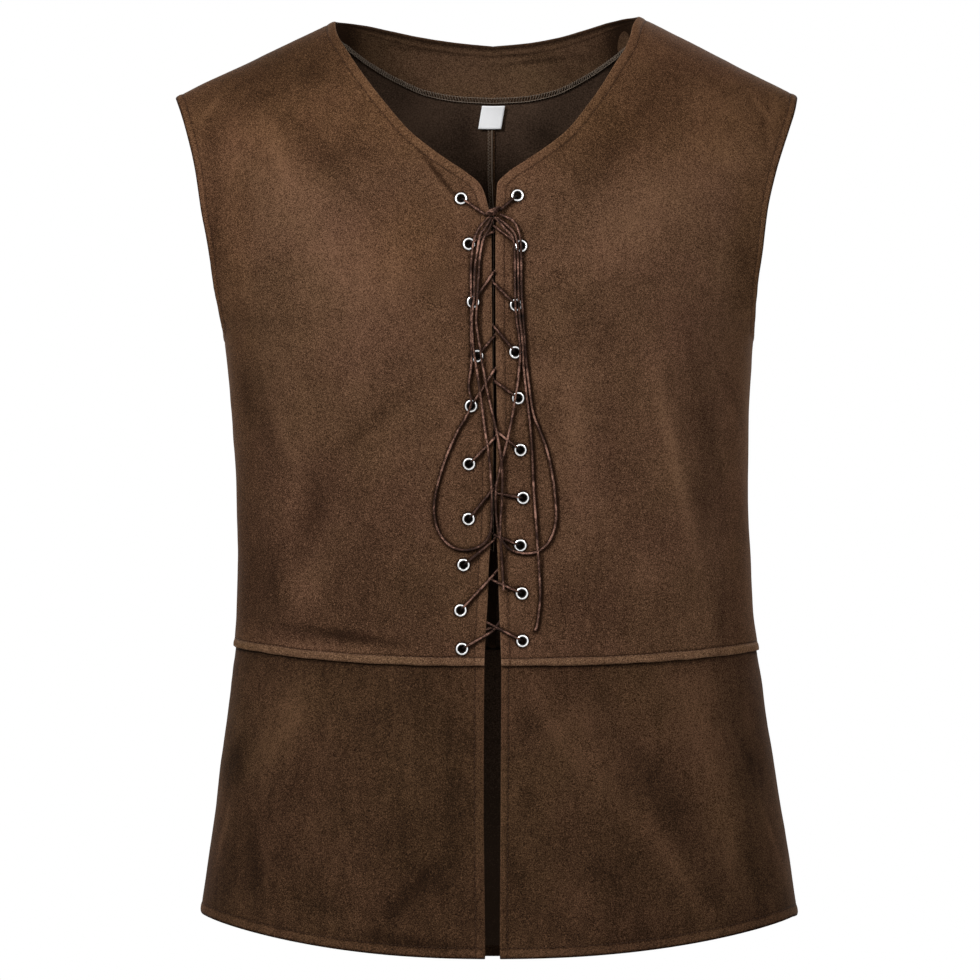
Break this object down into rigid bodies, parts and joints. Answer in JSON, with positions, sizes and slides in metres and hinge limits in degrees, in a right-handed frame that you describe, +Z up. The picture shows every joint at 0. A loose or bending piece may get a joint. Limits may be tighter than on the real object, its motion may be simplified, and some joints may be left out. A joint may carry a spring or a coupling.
{
  "type": "leather vest",
  "caption": "Sleeveless suede vest filled out as if worn, with a V neck, open armholes, a waist seam over a flared skirt, and a front laced through metal eyelets with a bow.",
  "frame": {"origin": "midway between the shoulders, at the mean height of the shoulder seams, where the wearer carries the vest", "axes": "+Z up towards the neck, the laced front faces -Y, +X on the right as the front is seen"},
  "size_m": [0.4975, 0.2652, 0.7607],
  "materials": {
    "suede": "matt brown suede",
    "suede_skirt": "matt brown suede, a little darker",
    "suede_inside": "matt dark inner side of the leather",
    "eyelet_steel": "bright plated",
    "lace_suede": "matt red-brown suede lace",
    "label_cloth": "bare white woven tape"
  },
  "bodies": {
    "root": {"front_left_bodice": "suede", "front_right_bodice": "suede", "back_left_bodice": "suede", "back_right_bodice": "suede", "front_left_skirt": "suede_skirt", "front_right_skirt": "suede_skirt", "back_skirt": "suede_skirt", "back_neck_facing": "suede_inside", "centre_back_seam_allowance": "suede_inside", "care_label": "label_cloth", "eyelet_left_01": "eyelet_steel", "eyelet_left_02": "eyelet_steel", "eyelet_left_03": "eyelet_steel", "eyelet_left_04": "eyelet_steel", "eyelet_left_05": "eyelet_steel", "eyelet_left_06": "eyelet_steel", "eyelet_left_07": "eyelet_steel", "eyelet_left_08": "eyelet_steel", "eyelet_left_09": "eyelet_steel", "eyelet_left_10": "eyelet_steel", "eyelet_right_01": "eyelet_steel", "eyelet_right_02": "eyelet_steel", "eyelet_right_03": "eyelet_steel", "eyelet_right_04": "eyelet_steel", "eyelet_right_05": "eyelet_steel", "eyelet_right_06": "eyelet_steel", "eyelet_right_07": "eyelet_steel", "eyelet_right_08": "eyelet_steel", "eyelet_right_09": "eyelet_steel", "eyelet_right_10": "eyelet_steel", "lacing_from_left": "lace_suede", "lacing_from_right": "lace_suede", "lace_knot": "lace_suede", "lace_loop_left": "lace_suede", "lace_loop_right": "lace_suede", "lace_tail_left": "lace_suede", "lace_tail_right": "lace_suede"}
  },
  "joints": []
}
